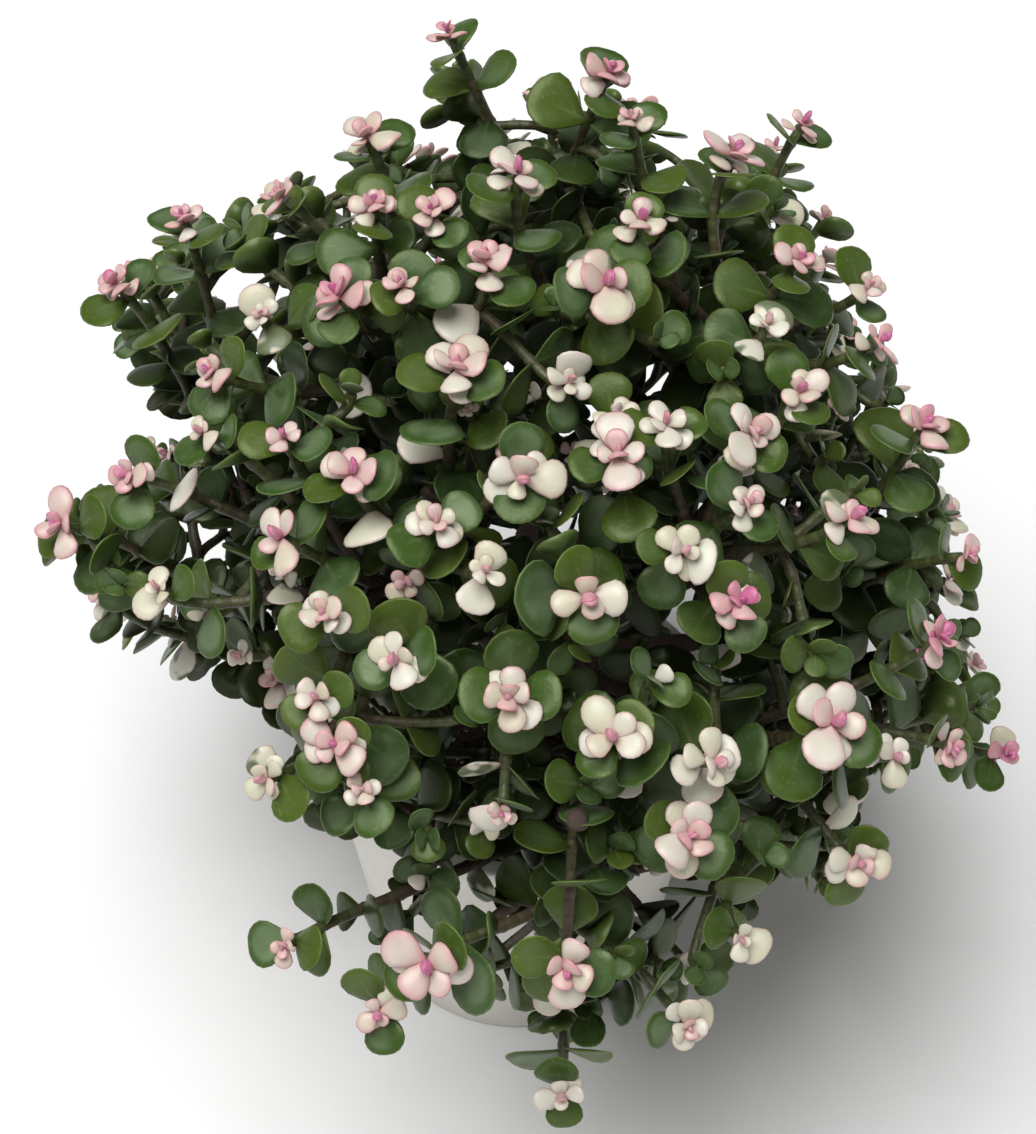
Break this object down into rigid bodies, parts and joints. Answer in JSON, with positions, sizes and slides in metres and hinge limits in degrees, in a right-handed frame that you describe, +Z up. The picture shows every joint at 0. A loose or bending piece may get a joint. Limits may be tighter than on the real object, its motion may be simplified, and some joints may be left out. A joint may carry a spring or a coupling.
{
  "type": "potted succulent bush",
  "caption": "Round dense bush of small round green leaves with cream and pink rosettes at the shoot tips, on a short woody trunk in a plain tapered pot.",
  "frame": {"origin": "middle of the pot's underside, on the surface that the pot stands on", "axes": "+Z up along the pot's axis; -Y is the side of the crown that is seen most, +X to its right"},
  "size_m": [0.2512, 0.2928, 0.2987],
  "materials": {
    "pot": "plain matt off-white, smooth",
    "soil": "crumbly dark potting soil",
    "bark": "smooth reddish-brown bark",
    "leaf_green": "satin, fleshy green leaves",
    "leaf_cream": "satin cream leaves with pink rims"
  },
  "bodies": {
    "root": {"pot": "pot", "soil": "soil", "trunk_and_limbs": "bark", "leafy_branch_01": "leaf_green", "leafy_branch_02": "leaf_green", "leafy_branch_03": "leaf_green", "leafy_branch_04": "leaf_green", "leafy_branch_05": "leaf_green", "leafy_branch_06": "leaf_green", "leafy_branch_07": "leaf_green", "leafy_branch_08": "leaf_green", "leafy_branch_09": "leaf_green", "leafy_branch_10": "leaf_green", "leafy_branch_11": "leaf_green", "leafy_branch_12": "leaf_green", "leafy_branch_13": "leaf_green", "rosette_01": "leaf_cream", "rosette_02": "leaf_cream", "rosette_03": "leaf_cream", "rosette_04": "leaf_cream", "rosette_05": "leaf_cream", "rosette_06": "leaf_cream", "rosette_07": "leaf_cream", "rosette_08": "leaf_cream", "rosette_09": "leaf_cream", "rosette_10": "leaf_cream", "rosette_11": "leaf_cream", "rosette_12": "leaf_cream", "rosette_13": "leaf_cream", "rosette_14": "leaf_cream", "rosette_15": "leaf_cream", "rosette_16": "leaf_cream", "rosette_17": "leaf_cream", "rosette_18": "leaf_cream", "rosette_19": "leaf_cream", "rosette_20": "leaf_cream", "rosette_21": "leaf_cream", "rosette_22": "leaf_cream", "rosette_23": "leaf_cream", "rosette_24": "leaf_cream", "rosette_25": "leaf_cream", "rosette_26": "leaf_cream", "rosette_27": "leaf_cream", "rosette_28": "leaf_cream", "rosette_29": "leaf_cream", "rosette_30": "leaf_cream", "rosette_31": "leaf_cream", "rosette_32": "leaf_cream", "rosette_33": "leaf_cream", "rosette_34": "leaf_cream", "rosette_35": "leaf_cream", "rosette_36": "leaf_cream", "rosette_37": "leaf_cream", "rosette_38": "leaf_cream", "rosette_39": "leaf_cream", "rosette_40": "leaf_cream", "rosette_41": "leaf_cream", "rosette_42": "leaf_cream", "rosette_43": "leaf_cream", "rosette_44": "leaf_cream"}
  },
  "joints": []
}
